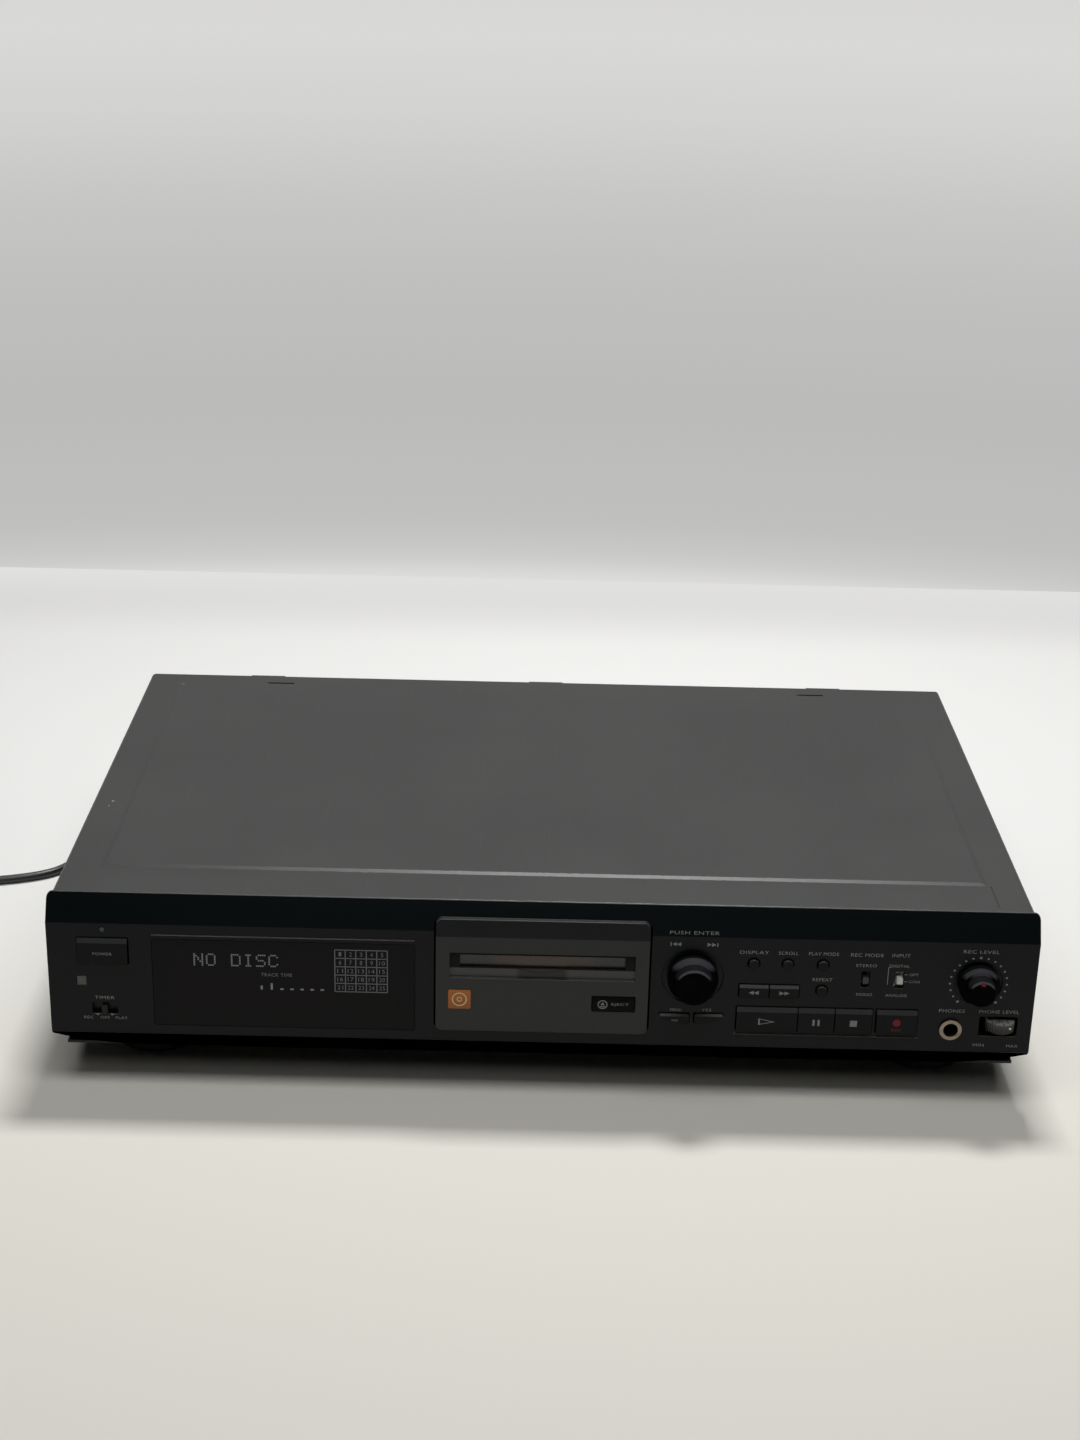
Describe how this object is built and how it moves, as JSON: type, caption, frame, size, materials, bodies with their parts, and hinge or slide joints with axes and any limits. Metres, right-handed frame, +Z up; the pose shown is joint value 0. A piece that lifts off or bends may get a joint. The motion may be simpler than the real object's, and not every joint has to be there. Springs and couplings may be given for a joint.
{
  "type": "minidisc deck",
  "caption": "Slim full-width black minidisc deck: hinged slot shutter over a loading mechanism, push buttons, jog dial, level controls, display window, round feet and a coiled mains cord.",
  "frame": {"origin": "on the surface the deck stands on, at the middle of its width and depth, the free cord left out", "axes": "+X to the right seen from the front, +Y to the back, +Z up"},
  "size_m": [0.5932, 0.3499, 0.095],
  "materials": {
    "black_steel": "fine textured black paint",
    "zinc_steel": "zinc plated",
    "black_panel": "fine brushed black",
    "grey_plate": "satin dark grey",
    "window": "smoked, polished",
    "black_key": "satin black",
    "grey_knob": "satin grey",
    "light_knob": "satin light grey",
    "shutter_brown": "satin",
    "lamp_green": "clear green",
    "sensor_grey": "satin",
    "foot_black": "satin black",
    "pad_felt": "matt",
    "tube_glass": "polished",
    "board_brown": "paper laminate",
    "board_green": "solder mask",
    "inner_grey": "satin",
    "nickel": "nickel plated",
    "motor_steel": "satin",
    "white_plastic": "moulded acetal",
    "pickup_grey": "die cast",
    "brass": "turned",
    "black_rubber": "satin black",
    "black_screw": "black zinc",
    "core_steel": "varnished"
  },
  "bodies": {
    "deck": {"chassis_tray": "zinc_steel", "rear_panel": "black_steel", "top_cover": "black_steel", "front_panel": "black_panel", "display_window": "window", "disc_escutcheon": "grey_plate", "standby_lamp": "lamp_green", "remote_sensor": "sensor_grey", "feet": "foot_black", "foot_pads": "pad_felt", "display_tube": "tube_glass", "control_board": "board_brown", "control_switches": "inner_grey", "jog_encoder": "inner_grey", "level_controls": "inner_grey", "phones_jack": "nickel", "main_board": "board_green", "power_transformer": "core_steel", "line_jacks": "nickel", "digital_jacks": "inner_grey", "mechanism_frame": "zinc_steel", "guide_rods": "nickel", "spindle_motor": "motor_steel", "loading_motor": "motor_steel", "screws": "black_screw", "strain_relief": "black_rubber", "power_cord": "black_rubber", "cord_coil": "black_rubber", "power_plug": "black_rubber"},
    "shutter": {"slot_shutter": "shutter_brown"},
    "power_button_body": {"power_button": "black_key"},
    "eject_button_body": {"eject_button": "black_key"},
    "menu_button_body": {"menu_button": "black_key"},
    "yes_button_body": {"yes_button": "black_key"},
    "rewind_button_body": {"rewind_button": "black_key"},
    "fast_forward_button_body": {"fast_forward_button": "black_key"},
    "display_button_body": {"display_button": "black_key"},
    "scroll_button_body": {"scroll_button": "black_key"},
    "play_mode_button_body": {"play_mode_button": "black_key"},
    "repeat_button_body": {"repeat_button": "black_key"},
    "play_button_body": {"play_button": "black_key"},
    "pause_button_body": {"pause_button": "black_key"},
    "stop_button_body": {"stop_button": "black_key"},
    "record_button_body": {"record_button": "black_key"},
    "timer_switch_body": {"timer_switch": "grey_knob"},
    "rec_mode_switch_body": {"rec_mode_switch": "black_key"},
    "input_switch_body": {"input_switch": "light_knob"},
    "jog_push": {"jog_shaft": "motor_steel"},
    "jog": {"jog_dial": "black_key"},
    "rec_level": {"rec_level_knob": "black_key", "rec_level_shaft": "motor_steel"},
    "phone_level": {"phone_level_wheel": "grey_knob"},
    "slider": {"loading_slider": "white_plastic"},
    "holder": {"disc_holder": "zinc_steel"},
    "loading_wheel": {"loading_gear": "white_plastic"},
    "pinion": {"motor_pinion": "white_plastic"},
    "turntable_body": {"turntable": "white_plastic"},
    "pickup": {"optical_pickup": "pickup_grey"},
    "screw": {"lead_screw": "nickel"},
    "head": {"head_arm": "zinc_steel"}
  },
  "joints": [
    {"name": "shutter_hinge", "type": "hinge", "parent": "deck", "child": "shutter", "pos_m": [0, -0.13285, 0.0719], "axis": [1, 0, 0], "range_deg": [0, 85], "stiffness_Nm_per_rad": 0.002, "springref_deg": -17.19},
    {"name": "power_press", "type": "slide", "parent": "deck", "child": "power_button_body", "axis": [0, 1, 0], "range_m": [0, 0.0008], "stiffness_N_per_m": 400},
    {"name": "eject_press", "type": "slide", "parent": "deck", "child": "eject_button_body", "axis": [0, 1, 0], "range_m": [0, 0.0008], "stiffness_N_per_m": 400},
    {"name": "menu_press", "type": "slide", "parent": "deck", "child": "menu_button_body", "axis": [0, 1, 0], "range_m": [0, 0.0008], "stiffness_N_per_m": 400},
    {"name": "yes_press", "type": "slide", "parent": "deck", "child": "yes_button_body", "axis": [0, 1, 0], "range_m": [0, 0.0008], "stiffness_N_per_m": 400},
    {"name": "rewind_press", "type": "slide", "parent": "deck", "child": "rewind_button_body", "axis": [0, 1, 0], "range_m": [0, 0.0008], "stiffness_N_per_m": 400},
    {"name": "fast_forward_press", "type": "slide", "parent": "deck", "child": "fast_forward_button_body", "axis": [0, 1, 0], "range_m": [0, 0.0008], "stiffness_N_per_m": 400},
    {"name": "display_press", "type": "slide", "parent": "deck", "child": "display_button_body", "axis": [0, 1, 0], "range_m": [0, 0.0008], "stiffness_N_per_m": 400},
    {"name": "scroll_press", "type": "slide", "parent": "deck", "child": "scroll_button_body", "axis": [0, 1, 0], "range_m": [0, 0.0008], "stiffness_N_per_m": 400},
    {"name": "play_mode_press", "type": "slide", "parent": "deck", "child": "play_mode_button_body", "axis": [0, 1, 0], "range_m": [0, 0.0008], "stiffness_N_per_m": 400},
    {"name": "repeat_press", "type": "slide", "parent": "deck", "child": "repeat_button_body", "axis": [0, 1, 0], "range_m": [0, 0.0008], "stiffness_N_per_m": 400},
    {"name": "play_press", "type": "slide", "parent": "deck", "child": "play_button_body", "axis": [0, 1, 0], "range_m": [0, 0.0008], "stiffness_N_per_m": 400},
    {"name": "pause_press", "type": "slide", "parent": "deck", "child": "pause_button_body", "axis": [0, 1, 0], "range_m": [0, 0.0008], "stiffness_N_per_m": 400},
    {"name": "stop_press", "type": "slide", "parent": "deck", "child": "stop_button_body", "axis": [0, 1, 0], "range_m": [0, 0.0008], "stiffness_N_per_m": 400},
    {"name": "record_press", "type": "slide", "parent": "deck", "child": "record_button_body", "axis": [0, 1, 0], "range_m": [0, 0.0008], "stiffness_N_per_m": 400},
    {"name": "timer_switch_slide", "type": "slide", "parent": "deck", "child": "timer_switch_body", "axis": [1, 0, 0], "range_m": [-0.003, 0.003]},
    {"name": "rec_mode_switch_slide", "type": "slide", "parent": "deck", "child": "rec_mode_switch_body", "axis": [0, 0, 1], "range_m": [-0.0016, 0.0016]},
    {"name": "input_switch_slide", "type": "slide", "parent": "deck", "child": "input_switch_body", "axis": [0, 0, 1], "range_m": [-0.0018, 0.0018]},
    {"name": "jog_press", "type": "slide", "parent": "deck", "child": "jog_push", "axis": [0, 1, 0], "range_m": [0, 0.0006], "stiffness_N_per_m": 500},
    {"name": "jog_turn", "type": "hinge", "parent": "jog_push", "child": "jog", "pos_m": [0.0654, -0.13475, 0.0624], "axis": [0, -1, 0], "continuous": true},
    {"name": "rec_level_turn", "type": "hinge", "parent": "deck", "child": "rec_level", "pos_m": [0.1898, -0.13475, 0.0624], "axis": [0, -1, 0], "range_deg": [-150, 150]},
    {"name": "phone_level_turn", "type": "hinge", "parent": "deck", "child": "phone_level", "pos_m": [0.2018, -0.13125, 0.0412], "axis": [0, 0, 1], "range_deg": [-140, 140]},
    {"name": "slider_travel", "type": "slide", "parent": "deck", "child": "slider", "axis": [0, 1, 0], "range_m": [0, 0.012]},
    {"name": "holder_drop", "type": "slide", "parent": "deck", "child": "holder", "axis": [0, 0, 1], "range_m": [-0.0045, 0]},
    {"name": "loading_gear_turn", "type": "hinge", "parent": "deck", "child": "loading_wheel", "pos_m": [0.0491, -0.08475, 0.045], "axis": [0, 0, 1], "range_deg": [-125, 0]},
    {"name": "motor_pinion_turn", "type": "hinge", "parent": "deck", "child": "pinion", "pos_m": [0.0491, -0.07275, 0.045], "axis": [0, 0, 1], "range_deg": [0, 250]},
    {"name": "turntable_spin", "type": "hinge", "parent": "deck", "child": "turntable_body", "pos_m": [0, -0.07575, 0.05], "axis": [0, 0, 1], "continuous": true},
    {"name": "pickup_travel", "type": "slide", "parent": "deck", "child": "pickup", "axis": [0, 1, 0], "range_m": [0, 0.014]},
    {"name": "lead_screw_turn", "type": "hinge", "parent": "deck", "child": "screw", "pos_m": [0.028, -0.06675, 0.0523], "axis": [0, 1, 0], "range_deg": [0, 1125]},
    {"name": "head_lift", "type": "hinge", "parent": "pickup", "child": "head", "pos_m": [0, -0.03915, 0.0744], "axis": [1, 0, 0], "range_deg": [0, 18], "stiffness_Nm_per_rad": 0.004, "springref_deg": -17.19}
  ],
  "couplings": [
    {"joint": "holder_drop", "follows": "slider_travel", "ratio": -0.375},
    {"joint": "loading_gear_turn", "follows": "slider_travel", "rad_per_m": -178.57},
    {"joint": "motor_pinion_turn", "follows": "slider_travel", "rad_per_m": 357.14},
    {"joint": "lead_screw_turn", "follows": "pickup_travel", "rad_per_m": 1396.3}
  ]
}
